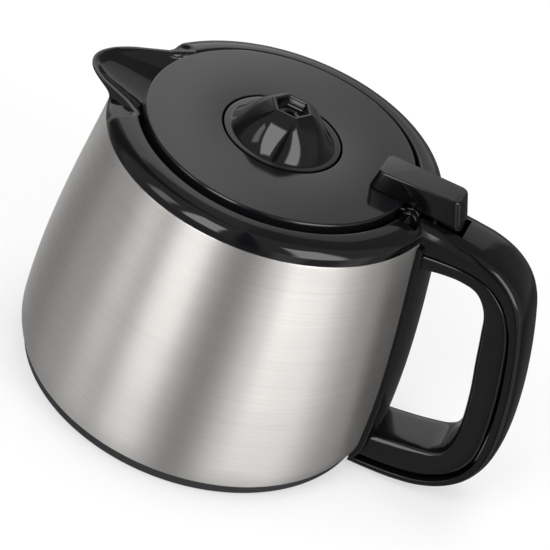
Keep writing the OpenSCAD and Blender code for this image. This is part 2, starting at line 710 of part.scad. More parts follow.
// ---- brew cone and its valve ----
cone_top_z = lid_z + cone_h;
seat_z = lid_z - 5.8;                           // underside of the spring's seat
hub_under_z = lid_z - 8;
bell_foot_r = cone_r - 2.4;                     // where the bell meets its flat flange
bell_foot_z = lid_z + 0.2;
bell_edge = 0.4;                                // corner rounding of the six-sided top
function bell_r(t) = mix(bell_foot_r, cone_top_r + bell_edge, t) + 2.6 * sin(180 * t) * (t - 0.25);
// At each height the bell is a six-sided outline with corners rounded more and more towards its foot.
function bell_ring(t, inset) = let (side = cone_top_r * mix(0.04, 1, t), round = bell_r(t) - side - inset)
    [for (k = [5:-1:0], j = [30:-15:-30])
        [side * cos(60 * k) + round * cos(60 * k + j), side * sin(60 * k) + round * sin(60 * k + j),
         mix(bell_foot_z, cone_top_z, t)]];
module bell(inset, to) {
    loft([for (i = [0:8]) bell_ring(to * i / 8, inset)]);
}
module brew_cone() {
    skirt_t = 1.6;
    wall = 1.8;
    floor_z = cone_top_z - socket_depth;        // the socket's floor
    socket_r = cone_top_r - socket_rim;
    color("#121214")
        difference() {
            union() {
                difference() {
                    union() {
                        bell(0, 1);
                        rotate_extrude()
                            polygon([[0, lid_z - 0.8], [cone_r, lid_z - 0.8], [cone_r, lid_z - 0.3],
                                     [cone_r - 0.3, lid_z], [bell_foot_r + 0.2, bell_foot_z + 0.15],
                                     [0, bell_foot_z + 0.15]]);
                    }
                    bell(wall, (floor_z - 1.4 - bell_foot_z) / (cone_top_z - bell_foot_z));
                    translate([0, 0, lid_z - 2])
                        cylinder(r = bell_foot_r - wall + 0.1, h = bell_foot_z - lid_z + 2 + eps);
                }
                ring(cone_r - skirt_t, cone_r, lid_z - 6.4, 6);
                translate([0, 0, hub_under_z]) cylinder(r = hub_r, h = floor_z - 1.2 - hub_under_z);
                ring(hub_r - eps, spring_r + 2.6, seat_z, 1.4);
                for (a = [0:60:300])
                    rotate([0, 0, a])
                        translate([hub_r - eps, -0.7, seat_z + 1])
                            cube([cone_r - skirt_t - hub_r + 0.4, 1.4, lid_z - seat_z - 1.2]);
            }
            translate([0, 0, floor_z])
                cylinder(r1 = socket_r - 0.5, r2 = socket_r, h = socket_depth + eps, $fn = 6);
            translate([0, 0, cone_top_z - 0.5])
                cylinder(r1 = socket_r, r2 = socket_r + 0.6, h = 0.52, $fn = 6);
            translate([0, 0, hub_under_z - 1]) cylinder(r = stem_r, h = stem_top_z - hub_under_z + 1);
            cylinder(r = drip_r, h = 200, $fn = 32);
        }
}

stem_top_z = lid_z + 4;
disc_z = plug_z - 3.2;                          // underside of the valve's disc
disc_t = 1.4;
seal_t = plug_z - disc_z - disc_t - slack;
port_r = 1.3;
module valve_stem() {
    closed_z = plug_z + 1.6;                    // the bore is closed below this height
    color("#d8d8dc")
        difference() {
            translate([0, 0, disc_z + disc_t]) cylinder(r = stem_r, h = stem_top_z - disc_z - disc_t);
            translate([0, 0, closed_z]) cylinder(r = stem_bore, h = 60, $fn = 48);
            for (a = [0, 90])
                translate([0, 0, closed_z + port_r])
                    rotate([90, 0, a]) cylinder(r = port_r, h = 20, center = true, $fn = 32);
            translate([0, 0, disc_z - 1]) cylinder(r = shank_r, h = 4.6, $fn = 32);
        }
}
module valve_seal() {
    color("whitesmoke") ring(stem_r + slack, disc_r - 0.8, disc_z + disc_t, seal_t);
}
module valve_disc() {
    color("#d8d8dc") ring(shank_r, disc_r, disc_z, disc_t);
}
module valve_screw() {
    color("gainsboro") {
        translate([0, 0, disc_z - screw_head]) cylinder(r = head_r, h = screw_head, $fn = 32);
        translate([0, 0, disc_z - eps]) cylinder(r = shank_r - 0.05, h = 3.4, $fn = 32);
    }
}

// A compression spring, one unbroken round wire, its ends flat on its seats
module valve_spring() {
    low = plug_floor_z + spring_wire / 2 + slack;
    high = seat_z - spring_wire / 2 - slack;
    sides = 6;
    per_turn = 16;
    count = spring_turns * per_turn;
    color("silver")
        loft([for (i = [0:count])
            let (t = i / count, a = 360 * spring_turns * t,
                 rise = clip((t * spring_turns - 0.75) / (spring_turns - 1.5)), z = mix(low, high, rise))
            [for (k = [0:sides - 1]) let (b = 360 * k / sides, r = spring_r + spring_wire / 2 * cos(b))
                [r * cos(a), r * sin(a), z + spring_wire / 2 * sin(b) + 0.06 * (t - 0.5)]]]);
}

outer_shell();
neck_ring();
inner_flask();
flask_neck();
flask_floor();
shell_bottom();
base_cup();
base_pad();
neck_gasket();
collar();
handle_outer();
handle_inner();
handle_screws();
handle_lower_screw();
hinge_pin();
lid_cover();
lid_base();
lid_gasket();
lid_screws();
thumb_lever();
lever_screws();
brew_cone();
valve_stem();
valve_spring();
valve_seal();
valve_disc();
valve_screw();
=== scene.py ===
import math
import bmesh
import bpy
from mathutils import Matrix, Vector


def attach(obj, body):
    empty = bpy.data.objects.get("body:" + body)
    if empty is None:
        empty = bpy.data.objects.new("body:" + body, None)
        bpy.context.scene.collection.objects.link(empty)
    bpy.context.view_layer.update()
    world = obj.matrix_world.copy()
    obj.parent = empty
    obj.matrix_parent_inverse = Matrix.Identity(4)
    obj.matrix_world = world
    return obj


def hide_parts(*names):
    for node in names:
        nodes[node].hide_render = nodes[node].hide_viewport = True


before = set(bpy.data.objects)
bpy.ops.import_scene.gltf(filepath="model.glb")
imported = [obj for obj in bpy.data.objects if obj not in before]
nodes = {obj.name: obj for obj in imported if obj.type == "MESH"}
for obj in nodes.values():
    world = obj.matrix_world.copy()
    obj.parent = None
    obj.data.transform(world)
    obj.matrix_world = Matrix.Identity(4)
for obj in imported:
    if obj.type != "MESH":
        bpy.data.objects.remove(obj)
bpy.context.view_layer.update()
mm = 0.001
print("frame loaded:", len(nodes), "nodes")

# heights and radii of the jug in mm, as the solids have them
jug = {
    "shellTopZ": 112, "shellTopR": 65.9, "shellWideR": 75.8, "wideZ": 16.5, "swell": 1.1, "footRound": 22,
    "baseTopZ": 6.3, "rimZ": 119.2, "ledgeZ": 111.2, "collarInR": 55.2, "neckInR": 48.5,
    "lidZ": 121.0, "lidR": 53.0, "hingeX": 57.0, "hingeZ": 117.0,
}


def mix(a, b, t):
    return a + (b - a) * t


def clip(t):
    return min(1.0, max(0.0, t))


def ease(a, b, v):
    t = clip((v - a) / (b - a))
    return t * t * (3 - 2 * t)


def signedPow(v, e):
    return math.copysign(abs(v) ** e, v)


def shellR(z):  # the body's outer radius at a height
    if z >= jug["wideZ"]:
        t = clip((jug["shellTopZ"] - z) / (jug["shellTopZ"] - jug["wideZ"]))
        return mix(jug["shellTopR"], jug["shellWideR"], math.sin(math.pi / 2 * t) ** jug["swell"])
    return jug["shellWideR"] - jug["footRound"] + math.sqrt(jug["footRound"] ** 2 - (jug["wideZ"] - z) ** 2)


# camera
view = {"aim": Vector((0, 0, 0.121)), "distance": 0.8261, "azimuth": 10, "elevation": 33.32,
        "pan": 1.089, "tilt": -3.525, "roll": 20.327, "lens": 144, "sensor": 36}


def swung(a, b, angle):  # two axes turned in their own plane
    return a * math.cos(angle) - b * math.sin(angle), a * math.sin(angle) + b * math.cos(angle)


def makeCamera():
    angles = (math.radians(view[k]) for k in ("azimuth", "elevation", "pan", "tilt", "roll"))
    az, el, pan, tilt, roll = angles
    back = Vector((math.sin(az) * math.cos(el), -math.cos(az) * math.cos(el), math.sin(el)))
    right = Vector((math.cos(az), math.sin(az), 0))
    ahead = -back
    up = right.cross(ahead)
    right, ahead = swung(right, ahead, pan)
    up, ahead = swung(up, ahead, tilt)
    up, right = swung(up, right, roll)
    data = bpy.data.cameras.new("productCamera")
    data.lens = view["lens"]
    data.sensor_width = view["sensor"]
    data.clip_start, data.clip_end = 0.05, 30
    camera = bpy.data.objects.new("productCamera", data)
    turn = Matrix((right, up, -ahead)).transposed().to_4x4()
    camera.matrix_world = Matrix.Translation(view["aim"] + back * view["distance"]) @ turn
    bpy.context.scene.collection.objects.link(camera)
    bpy.context.scene.camera = camera


makeCamera()
bpy.context.scene.view_settings.view_transform = "Standard"
print("camera set")


# shader writing
class Sock:  # one socket, with arithmetic that adds Math nodes
    def __init__(self, shade, socket):
        self.shade = shade
        self.socket = socket

    def calc(self, operation, *others):
        values = dict(enumerate((self,) + others))
        return self.shade.add("ShaderNodeMath", {"operation": operation}, values).out(0)

    def __add__(self, other):
        return self.calc("ADD", other)

    def __radd__(self, other):
        return self.calc("ADD", other)

    def __sub__(self, other):
        return self.calc("SUBTRACT", other)

    def __rsub__(self, other):
        return self.shade.number(other).calc("SUBTRACT", self)

    def __mul__(self, other):
        return self.calc("MULTIPLY", other)

    def __rmul__(self, other):
        return self.calc("MULTIPLY", other)

    def range(self, low, high, toLow=0.0, toHigh=1.0):  # a smooth step from one level to another
        values = {"Value": self, "From Min": low, "From Max": high, "To Min": toLow, "To Max": toHigh}
        settings = {"interpolation_type": "SMOOTHSTEP"}
        return self.shade.add("ShaderNodeMapRange", settings, values).out("Result")


class Node:
    def __init__(self, shade, node):
        self.shade = shade
        self.node = node

    def out(self, name):
        return Sock(self.shade, self.node.outputs[name])


class Shade:  # a material's or the world's node tree
    def __init__(self, tree):
        self.tree = tree
        tree.nodes.clear()

    def number(self, value):
        return self.add("ShaderNodeMath", {"operation": "ADD"}, {0: value, 1: 0.0}).out(0)

    def add(self, kind, settings=None, values=None):
        node = self.tree.nodes.new(kind)
        for key, value in (settings or {}).items():
            setattr(node, key, value)
        for key, value in (values or {}).items():
            target = node.inputs[key]
            if isinstance(value, Sock):
                self.tree.links.new(value.socket, target)
            elif isinstance(value, tuple) and len(value) == 3 and target.type == "RGBA":
                target.default_value = (*value, 1)
            else:
                target.default_value = value
        return Node(self, node)

    def colourMix(self, factor, a, b):  # a Mix node set to colour has these sockets by number
        return self.add("ShaderNodeMix", {"data_type": "RGBA"}, {0: factor, 6: a, 7: b}).out(2)

    def place(self, scale=(1, 1, 1)):
        coords = self.add("ShaderNodeTexCoord").out("Object")
        values = {"Vector": coords, "Scale": scale}
        return self.add("ShaderNodeMapping", {"vector_type": "POINT"}, values).out("Vector")

    def noise(self, where, scale, detail=3.0, rough=0.5):
        values = {"Vector": where, "Scale": scale, "Detail": detail, "Roughness": rough}
        return self.add("ShaderNodeTexNoise", {"noise_dimensions": "3D"}, values).out("Fac")

    def bump(self, height, strength, distance):
        values = {"Height": height, "Strength": strength, "Distance": distance}
        return self.add("ShaderNodeBump", {}, values).out("Normal")

    def tones(self, factor, tone, dark, light):  # a colour that varies between two shares of one tone
        lightTone = tuple(min(1.0, c * light) for c in tone)
        return self.colourMix(factor, tuple(c * dark for c in tone), lightTone)


def newMaterial(name):
    material = bpy.data.materials.new(name)
    material.use_nodes = True
    return material, Shade(material.node_tree)


def finishMaterial(shade, values):
    surface = shade.add("ShaderNodeBsdfPrincipled", {}, values)
    shade.add("ShaderNodeOutputMaterial", {}, {"Surface": surface.out("BSDF")})


# moulded plastic: a base tone, a faint flow of tone, fine grain, and hairline wear that dulls it a little
moulding = {"grainMm": 0.18, "flow": 0.12, "flowScale": 28.0, "sway": 0.08,
            "wearScale": (60.0, 900.0, 900.0)}


def plastic(name, tone, roughness, grain=0.06, wear=0.05, shine=0.5):
    material, shade = newMaterial(name)
    where = shade.place()
    broad = shade.noise(where, moulding["flowScale"], 2.0)
    fine = shade.noise(where, 1000.0 / moulding["grainMm"] / 4, 2.0, 0.6)
    scuffs = shade.noise(shade.place(moulding["wearScale"]), 1.0, 2.0, 0.7).range(0.62, 0.8) * wear
    flow, sway = moulding["flow"], moulding["sway"]
    finishMaterial(shade, {
        "Base Color": shade.tones(broad.range(0.3, 0.7), tone, 1 - flow, 1 + flow),
        "Roughness": broad.range(0.3, 0.7, roughness * (1 - sway), roughness * (1 + sway)) + scuffs,
        "Specular IOR Level": shine, "IOR": 1.5,
        "Normal": shade.bump(fine, grain, moulding["grainMm"] * mm * 0.3),
    })
    return material


# brushed steel: long fine lines round the body, which break up into shorter strokes
brushing = {"fine": (0.9, 6400.0), "coarse": (1.7, 2900.0), "fineShare": 0.6, "cloudScale": 22.0,
            "dark": 0.93, "light": 1.05, "sway": 0.07, "bump": 0.06, "depth": 0.00002}


def brushedSteel(name, tone, roughness, anisotropy, metallic=1.0):
    material, shade = newMaterial(name)
    coords = shade.add("ShaderNodeTexCoord").out("Object")
    parts = shade.add("ShaderNodeSeparateXYZ", {}, {"Vector": coords})
    turn = parts.out("Y").calc("ARCTAN2", parts.out("X"))

    def strokes(around, upwards):  # noise drawn out round the axis
        x, y = turn.calc("COSINE") * around, turn.calc("SINE") * around
        where = shade.add("ShaderNodeCombineXYZ", {}, {"X": x, "Y": y, "Z": parts.out("Z") * upwards})
        return shade.noise(where.out("Vector"), 1.0, 2.0, 0.6)

    share, sway = brushing["fineShare"], brushing["sway"]
    lines = strokes(*brushing["fine"]) * share + strokes(*brushing["coarse"]) * (1 - share)
    uneven = (shade.noise(coords, brushing["cloudScale"], 2.0) - 0.5) * 0.04
    finishMaterial(shade, {
        "Base Color": shade.tones(lines.range(0.35, 0.65), tone, brushing["dark"], brushing["light"]),
        "Metallic": metallic,
        "Roughness": lines.range(0.3, 0.7, roughness * (1 - sway), roughness * (1 + sway)) + uneven,
        "Anisotropic": anisotropy,
        "Anisotropic Rotation": 0.25,  # a quarter turn, which spreads the light up and down
        "Normal": shade.bump(lines, brushing["bump"], brushing["depth"]),
    })
    return material


def plainSteel(name, tone, roughness):
    material, shade = newMaterial(name)
    where = shade.place()
    cloud = shade.noise(where, 90.0, 3.0)
    finishMaterial(shade, {
        "Base Color": shade.tones(cloud.range(0.3, 0.7), tone, 0.92, 1.0),
        "Metallic": 1.0, "Roughness": cloud.range(0.3, 0.7, roughness * 0.8, roughness * 1.2),
        "Normal": shade.bump(shade.noise(where, 2500.0, 2.0), 0.05, 0.00001),
    })
    return material


def rubber(name, tone, roughness):
    material, shade = newMaterial(name)
    where = shade.place()
    cloud = shade.noise(where, 60.0, 3.0)
    finishMaterial(shade, {
        "Base Color": shade.tones(cloud.range(0.3, 0.7), tone, 0.85, 1.1),
        "Roughness": cloud.range(0.3, 0.7, roughness * 0.95, roughness * 1.05),
        "Specular IOR Level": 0.35,
        "Normal": shade.bump(shade.noise(where, 1800.0, 2.0), 0.25, 0.00003),
    })
    return material


steelFinish = brushedSteel("brushedSteelBody", (0.69, 0.67, 0.648), 0.38, 0.95, 0.86)
innerSteel = brushedSteel("drawnSteelFlask", (0.62, 0.61, 0.6), 0.34, 0.5)
# after the tone: roughness, grain, wear, shine
collarPlastic = plastic("polishedCollarBlack", (0.0034, 0.0036, 0.0042), 0.06, 0.015, 0.02, 0.45)
lidPlastic = plastic("satinLidBlack", (0.0056, 0.0058, 0.0066), 0.1, 0.03, 0.03)
leverPlastic = plastic("polishedLeverBlack", (0.0034, 0.0035, 0.004), 0.1, 0.02, 0.03, 0.45)
conePlastic = plastic("polishedConeBlack", (0.003, 0.0031, 0.0036), 0.05, 0.015, 0.02, 0.45)
gripPlastic = plastic("polishedGripBlack", (0.0032, 0.0033, 0.0038), 0.08, 0.02, 0.04, 0.4)
loopPlastic = plastic("satinLoopBlack", (0.0042, 0.0043, 0.0048), 0.14, 0.04, 0.04, 0.4)
strapPlastic = plastic("polishedStrapBlack", (0.0034, 0.0035, 0.004), 0.08, 0.02, 0.03, 0.35)
basePlastic = plastic("mattBaseGrey", (0.018, 0.019, 0.022), 0.5, 0.3, 0.04)
plugPlastic = plastic("satinPlugBlack", (0.016, 0.016, 0.018), 0.35, 0.1)
stemPlastic = plastic("naturalStemPlastic", (0.52, 0.52, 0.5), 0.4, 0.08)
silicone = rubber("milkySilicone", (0.62, 0.61, 0.58), 0.5)
footRubber = rubber("blackFootRubber", (0.018, 0.018, 0.018), 0.75)
screwSteel = plainSteel("plainScrewSteel", (0.6, 0.6, 0.59), 0.28)
pinSteel = plainSteel("brightPinSteel", (0.72, 0.72, 0.72), 0.15)
print("materials ready")


# mesh helpers
def turned(bm, profile, steps=192):  # a closed profile of (r, z) in mm, spun round the jug's axis
    corners = [bm.verts.new((r * mm, 0, z * mm)) for r, z in profile]
    edges = [bm.edges.new((a, b)) for a, b in zip(corners, corners[1:] + corners[:1])]
    bmesh.ops.spin(bm, geom=corners + edges, cent=(0, 0, 0), axis=(0, 0, 1), angle=2 * math.pi, steps=steps,
                   use_merge=True, use_duplicate=False)
    bmesh.ops.remove_doubles(bm, verts=bm.verts, dist=1e-7)
    bmesh.ops.dissolve_degenerate(bm, edges=bm.edges, dist=1e-7)


def rounded(profile, steps=5):  # (r, z, radius) corners of a profile become arcs
    out = []
    for i, corner in enumerate(profile):
        here = Vector(corner[:2])
        size = corner[2] if len(corner) > 2 else 0
        if size <= 0:
            out.append(tuple(here))
            continue
        before, after = Vector(profile[i - 1][:2]), Vector(profile[(i + 1) % len(profile)][:2])
        inward, outward = (before - here).normalized(), (after - here).normalized()
        half = max(0.02, inward.angle(outward) / 2)
        reach = min(size / math.tan(half), (before - here).length * 0.49, (after - here).length * 0.49)
        start, end = here + inward * reach, here + outward * reach
        for k in range(steps + 1):
            t = k / steps
            out.append(tuple(start * (1 - t) ** 2 + here * 2 * t * (1 - t) + end * t * t))
    return out


def lofted(bm, rings, closed=False):  # circles pulled to each ring's places and bridged one to the next
    loops = []
    for ring in rings:
        made = bmesh.ops.create_circle(bm, cap_ends=False, segments=len(ring), radius=mm)["verts"]
        for vert, spot in zip(made, ring):
            vert.co = Vector(spot) * mm
        loops.append(made)
    for a, b in zip(loops, loops[1:] + (loops[:1] if closed else [])):
        for i in range(len(a)):
            j = (i + 1) % len(a)
            bm.faces.new((a[i], a[j], b[j], b[i]))
    if not closed:
        bm.faces.new(loops[0])
        bm.faces.new(loops[-1])


def looseObject(bm, name):  # a mesh object that no body carries yet
    bmesh.ops.recalc_face_normals(bm, faces=bm.faces)
    mesh = bpy.data.meshes.new(name)
    bm.to_mesh(mesh)
    bm.free()
    loose = bpy.data.objects.new(name, mesh)
    bpy.context.scene.collection.objects.link(loose)
    return loose


def finishPiece(bm, name, body, material, replaced=(), sharp=32):
    bmesh.ops.remove_doubles(bm, verts=bm.verts, dist=1e-7)
    piece = looseObject(bm, name)
    piece.data.materials.append(material)
    markSharp(piece.data, sharp)
    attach(piece, body)
    if replaced:
        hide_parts(*replaced)
    return piece


def markSharp(mesh, degrees):
    bm = bmesh.new()
    bm.from_mesh(mesh)
    for face in bm.faces:
        face.smooth = True
    for edge in bm.edges:
        edge.smooth = len(edge.link_faces) == 2 and edge.calc_face_angle(0) < math.radians(degrees)
    bm.to_mesh(mesh)
    bm.free()


def cutAway(piece, cutterMeshes, operation="DIFFERENCE", sharp=32):  # booleans, applied and tidied
    cutters = []
    for i, bm in enumerate(cutterMeshes):
        cutter = looseObject(bm, "cutter")
        cutters.append(cutter)
        change = piece.modifiers.new("cut", "BOOLEAN")
        change.operation = operation if isinstance(operation, str) else operation[i]
        change.solver = "EXACT"
        change.object = cutter
    bpy.context.view_layer.update()
    result = bpy.data.meshes.new_from_object(piece.evaluated_get(bpy.context.evaluated_depsgraph_get()))
    piece.modifiers.clear()
    old = piece.data
    piece.data = result
    bpy.data.meshes.remove(old)
    for cutter in cutters:
        mesh = cutter.data
        bpy.data.objects.remove(cutter)
        bpy.data.meshes.remove(mesh)
    bm = bmesh.new()
    bm.from_mesh(result)
    bmesh.ops.remove_doubles(bm, verts=bm.verts, dist=2e-6)
    bmesh.ops.dissolve_degenerate(bm, edges=bm.edges, dist=2e-6)
    bm.to_mesh(result)
    bm.free()
    markSharp(result, sharp)


def blockMesh(low, high, bevel=0.0):  # a box between two corners in mm
    bm = bmesh.new()
    bmesh.ops.create_cube(bm, size=1.0)
    size = Vector(high) - Vector(low)
    bmesh.ops.scale(bm, vec=size * mm, verts=bm.verts)
    bmesh.ops.translate(bm, vec=(Vector(low) + Vector(high)) / 2 * mm, verts=bm.verts)
    if bevel:
        bmesh.ops.bevel(bm, geom=bm.edges[:], offset=bevel * mm, offset_type="OFFSET", affect="EDGES",
                        segments=3, profile=0.5, material=-1)
    return bm


def slabMesh(outline, low, high):  # an outline of (x, z) points given its width along Y
    bm = bmesh.new()
    corners = [bm.verts.new((x * mm, low * mm, z * mm)) for x, z in outline]
    side = bm.faces.new(corners)
    made = bmesh.ops.extrude_face_region(bm, geom=[side])
    far = [g for g in made["geom"] if isinstance(g, bmesh.types.BMVert)]
    bmesh.ops.translate(bm, vec=(0, (high - low) * mm, 0), verts=far)
    return bm


def postMesh(x, y, low, high, radius, segments=32):  # a round bar along Z
    bm = bmesh.new()
    bmesh.ops.create_cone(bm, cap_ends=True, segments=segments, radius1=radius * mm, radius2=radius * mm,
                          depth=(high - low) * mm)
    bmesh.ops.translate(bm, vec=(x * mm, y * mm, (low + high) / 2 * mm), verts=bm.verts)
    return bm


def envelopeMesh(gap):  # the body's outline grown by a gap, which cuts back what is fixed outside it
    steps = 40
    wall = [mix(jug["baseTopZ"], jug["shellTopZ"], i / steps) for i in range(steps + 1)]
    foot = [(0, -1), (base["footR"] + 1 + gap, -1)]
    bm = bmesh.new()
    turned(bm, foot + [(shellR(z) + gap, z) for z in wall] + [(0, jug["shellTopZ"] + gap)])
    return bm


def rodMesh(x, z, radius, halfY, bevel=0.0):  # a round bar along Y
    bm = bmesh.new()
    bmesh.ops.create_cone(bm, cap_ends=True, segments=64, radius1=radius * mm, radius2=radius * mm,
                          depth=2 * halfY * mm)
    bmesh.ops.rotate(bm, cent=(0, 0, 0), matrix=Matrix.Rotation(math.pi / 2, 3, "X"), verts=bm.verts)
    bmesh.ops.translate(bm, vec=(x * mm, 0, z * mm), verts=bm.verts)
    if bevel:
        rims = [e for e in bm.edges if abs(e.verts[0].co.y - e.verts[1].co.y) < 1e-9]
        bmesh.ops.bevel(bm, geom=rims, offset=bevel * mm, offset_type="OFFSET", affect="EDGES", segments=3,
                        profile=0.5, material=-1)
    return bm


# steel body
body = {"sheet": 0.8, "steps": 44}


def makeSteelBody():
    zs = [mix(jug["baseTopZ"], jug["shellTopZ"], i / body["steps"]) for i in range(body["steps"] + 1)]
    outside = [(shellR(z), z) for z in zs]
    outside[-1] = (shellR(jug["shellTopZ"]), jug["shellTopZ"], 0.35)
    inside = [(shellR(z) - body["sheet"], z) for z in reversed(zs)]
    bm = bmesh.new()
    turned(bm, rounded(outside + inside), 256)
    finishPiece(bm, "steel_body", "jug", steelFinish, ("outer_shell",))


makeSteelBody()
print("steel body turned")

# base
base = {"footR": 71.9, "footZ": 0.4, "padR": 67.1, "padZ": 1.6, "innerR": 68.9, "floorZ": 3.6, "seam": 0.25,
        "tongueStart": (67, -7, 3.0), "tongueEnd": (84.3, 7, 6.0), "tongueRound": 0.4, "tongueGap": 0.1}


def makeBaseRim():
    topZ, topR, foot, seam = jug["baseTopZ"], shellR(jug["baseTopZ"]), base["footZ"], base["seam"]
    profile = [(base["padR"], base["padZ"]), (base["padR"], foot), (base["footR"] - 1.2, foot, 0.3),
               (base["footR"] + 0.2, foot + 1.4, 0.8), (topR - 0.35, topZ - 3 * seam, 0.2),
               (topR - 0.55, topZ - seam), (topR - 0.3, topZ - 0.02, 0.1), (base["innerR"], topZ),
               (base["innerR"], base["floorZ"]), (0.0, base["floorZ"]), (0.0, base["padZ"])]
    bm = bmesh.new()
    turned(bm, rounded(profile))
    piece = finishPiece(bm, "base_rim", "jug", basePlastic, ("base_cup",))
    cutAway(piece, [blockMesh(base["tongueStart"], base["tongueEnd"], base["tongueRound"])], "UNION")


makeBaseRim()
print("base made")

# collar with its spout
# Each step round the axis has the same chain of points.
# Near the spout they are pulled out to the leaf's edge.
collar = {
    "steps": 480, "bulgeSteps": 12, "wallSteps": 12, "rimWidth": 1.4, "sharp": 38,
    "reach": 78.6, "rootTurn": 30.5, "rimBand": 2.1, "dip": 2.6, "dipStart": 48, "climb": 3.6,
    "seatR": 52.0, "neckOutR": 50.0, "neckLowZ": 102.6,
    "grooveR": 56.5, "grooveZ": 109.6, "hangR": 57.2, "hangZ": 108.3,
}
# half angle seen from the axis, and the radius of the leaf's outer edge there
leafEdge = [(0.0, 78.6), (1.6, 78.45), (3.7, 77.7), (7.2, 75.4), (11.3, 71.3), (16.0, 65.7), (22.0, 60.2),
            (30.5, 56.2)]


def curveThrough(pairs, at):  # smooth line through pairs sorted by their first number
    if at <= pairs[0][0]:
        return pairs[0][1]
    for i in range(len(pairs) - 1):
        if at <= pairs[i + 1][0]:
            (x0, y0), (x1, y1) = pairs[i], pairs[i + 1]
            xa, ya = pairs[max(i - 1, 0)]
            xb, yb = pairs[min(i + 2, len(pairs) - 1)]
            h = x1 - x0
            m0 = (y1 - ya) / max(x1 - xa, 1e-6) * h if i else 0
            m1 = (yb - y0) / max(xb - x0, 1e-6) * h
            t = (at - x0) / h
            fade = t * t * (3 - 2 * t)
            return (1 - fade) * y0 + fade * y1 + t * (1 - t) ** 2 * m0 - t * t * (1 - t) * m1
    return pairs[-1][1]


def leafR(turn):  # turn in degrees from the spout's middle
    return curveThrough(leafEdge, abs(turn))


def channelZ(x, y, wall):  # the pouring floor: a trough that climbs from the ledge to the tip
    start = jug["lidR"] + 0.5
    along = clip((-x - start) / (collar["reach"] - 4 - start))
    floor = jug["ledgeZ"] + collar["climb"] * along ** 1.15
    side = clip(abs(y) / max(wall, 0.5))
    return mix(floor, spoutRimZ(x) - 0.4, side ** 2.6)


def spoutRimZ(x):  # the leaf's edge sinks towards the tip
    start = collar["dipStart"]
    return jug["rimZ"] - collar["dip"] * clip((-x - start) / (collar["reach"] - start)) ** 1.1


def bulgeZ(angle):  # height on the collar's round shoulder, from its rim down
    return mix(jug["shellTopZ"] + 0.6, jug["rimZ"], math.cos(angle) ** 0.8)


def collarSection(turn):  # closed chain of (r, z) at an angle from the spout's middle
    inR, rimZ, ledge, neckR = jug["collarInR"], jug["rimZ"], jug["ledgeZ"], jug["neckInR"]
    outR, lowZ, low, neckOutR = jug["shellTopR"], jug["shellTopZ"], collar["neckLowZ"], collar["neckOutR"]
    near = 1 - ease(collar["rootTurn"] - 2.5, collar["rootTurn"] + 0.5, abs(turn))  # 1 inside the spout
    c, s = math.cos(math.radians(turn)), math.sin(math.radians(turn))
    edge = leafR(turn)
    tipRim = edge - collar["rimBand"] / max(0.35, c)
    chain = [(neckR + 0.4, low), (neckR, low + 0.6), (neckR, ledge - 0.5),
             (neckR + 0.12, ledge - 0.18), (neckR + 0.5, ledge), (collar["seatR"], ledge)]
    plainWall, spoutWall = [], []
    n = collar["wallSteps"]
    for i in range(n + 1):
        t = i / n
        rise = clip(t * 1.12 - 0.12) ** 1.1
        plainWall.append((mix(inR - 1.2, inR, clip(t * 4)), mix(ledge, rimZ - 0.9, rise)))
        r = mix(inR - 1.2, tipRim, t ** 0.9)
        x, y = -r * c, r * s
        lip = mix(ledge, spoutRimZ(x) - 0.45, clip((t - 0.8) / 0.2) ** 1.6)
        lift = max(channelZ(x, y, channelHalfWidth(x)), lip)
        spoutWall.append((r, min(lift, spoutRimZ(x) - 0.4)))
    chain += [tuple(mix(a, b, near) for a, b in zip(p, q)) for p, q in zip(plainWall, spoutWall)]
    plainTop = [(inR + 0.15, rimZ - 0.55), (inR + 0.45, rimZ - 0.15), (inR + 0.9, rimZ),
                (inR + collar["rimWidth"], rimZ)]
    top = spoutRimZ(-edge * c)
    spoutTop = [(tipRim + 0.08, top - 0.2), (tipRim + 0.35, top - 0.02), (edge - 0.55, top - 0.02),
                (edge - 0.2, top - 0.12)]
    chain += [tuple(mix(a, b, near) for a, b in zip(p, q)) for p, q in zip(plainTop, spoutTop)]
    m = collar["bulgeSteps"]
    for i in range(1, m + 1):
        a = math.pi / 2 * i / m
        plain = (mix(inR + collar["rimWidth"], outR, math.sin(a)), bulgeZ(a))
        t = i / m
        fall = mix(top - 0.3, lowZ + 0.6, t ** 0.8)
        spoutUnder = (mix(edge, outR, ease(0.0, 1.0, t) * (1 - 0.25 * (1 - t))), fall)
        spoutUnder = (max(spoutUnder[0], plain[0]) if edge > plain[0] else plain[0], spoutUnder[1])
        chain.append(tuple(mix(u, v, near) for u, v in zip(plain, spoutUnder)))
    chain += [(outR, lowZ + 0.25), (outR - 0.25, lowZ + 0.05), (outR - 0.6, lowZ + 0.05),
              (collar["hangR"], collar["hangZ"]), (collar["grooveR"], collar["hangZ"]),
              (collar["grooveR"], collar["grooveZ"]), (neckOutR, collar["grooveZ"]), (neckOutR, low)]
    return chain


def channelHalfWidth(x):  # half width of the leaf's inner edge on the line at this x
    if -x >= collar["reach"] - collar["rimBand"]:
        return 0.5
    best = 0.5
    for i in range(61):
        turn = collar["rootTurn"] * i / 60
        c, s = math.cos(math.radians(turn)), math.sin(math.radians(turn))
        r = leafR(turn) - collar["rimBand"] / max(0.35, c)
        if r * c >= -x:
            best = max(best, r * s)
    return best


